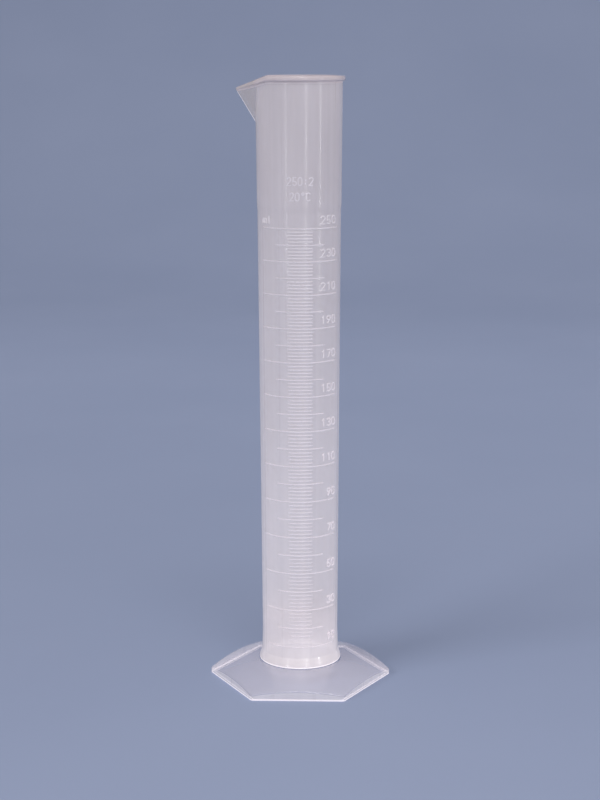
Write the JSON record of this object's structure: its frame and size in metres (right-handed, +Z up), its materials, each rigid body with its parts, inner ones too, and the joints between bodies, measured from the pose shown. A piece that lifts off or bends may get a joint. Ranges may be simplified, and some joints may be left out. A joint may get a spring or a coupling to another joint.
{
  "type": "graduated cylinder",
  "caption": "Tall translucent plastic measuring cylinder with a pouring spout, raised millilitre scale and a hexagonal foot.",
  "frame": {"origin": "middle of the foot's base plane, on the table, on the tube's axis", "axes": "+Z up along the tube; -Y is the side that the scale faces, turned 3 degrees about Z; -X is the side of the spout, turned 3 degrees about Z; two corners of the hexagonal foot lie on the X axis"},
  "size_m": [0.0952, 0.083, 0.315],
  "materials": {
    "milky_plastic": "natural milky polypropylene, satin gloss, translucent",
    "foot_plastic": "natural milky polypropylene, thin and glossy, translucent",
    "raised_scale": "raised moulded relief, frosted and a little whiter than the wall"
  },
  "bodies": {
    "root": {"tube": "milky_plastic", "foot": "foot_plastic", "fine_lines": "raised_scale", "ten_lines": "raised_scale", "numbered_lines": "raised_scale", "numerals": "raised_scale", "unit_mark": "raised_scale", "capacity_mark": "raised_scale"}
  },
  "joints": []
}
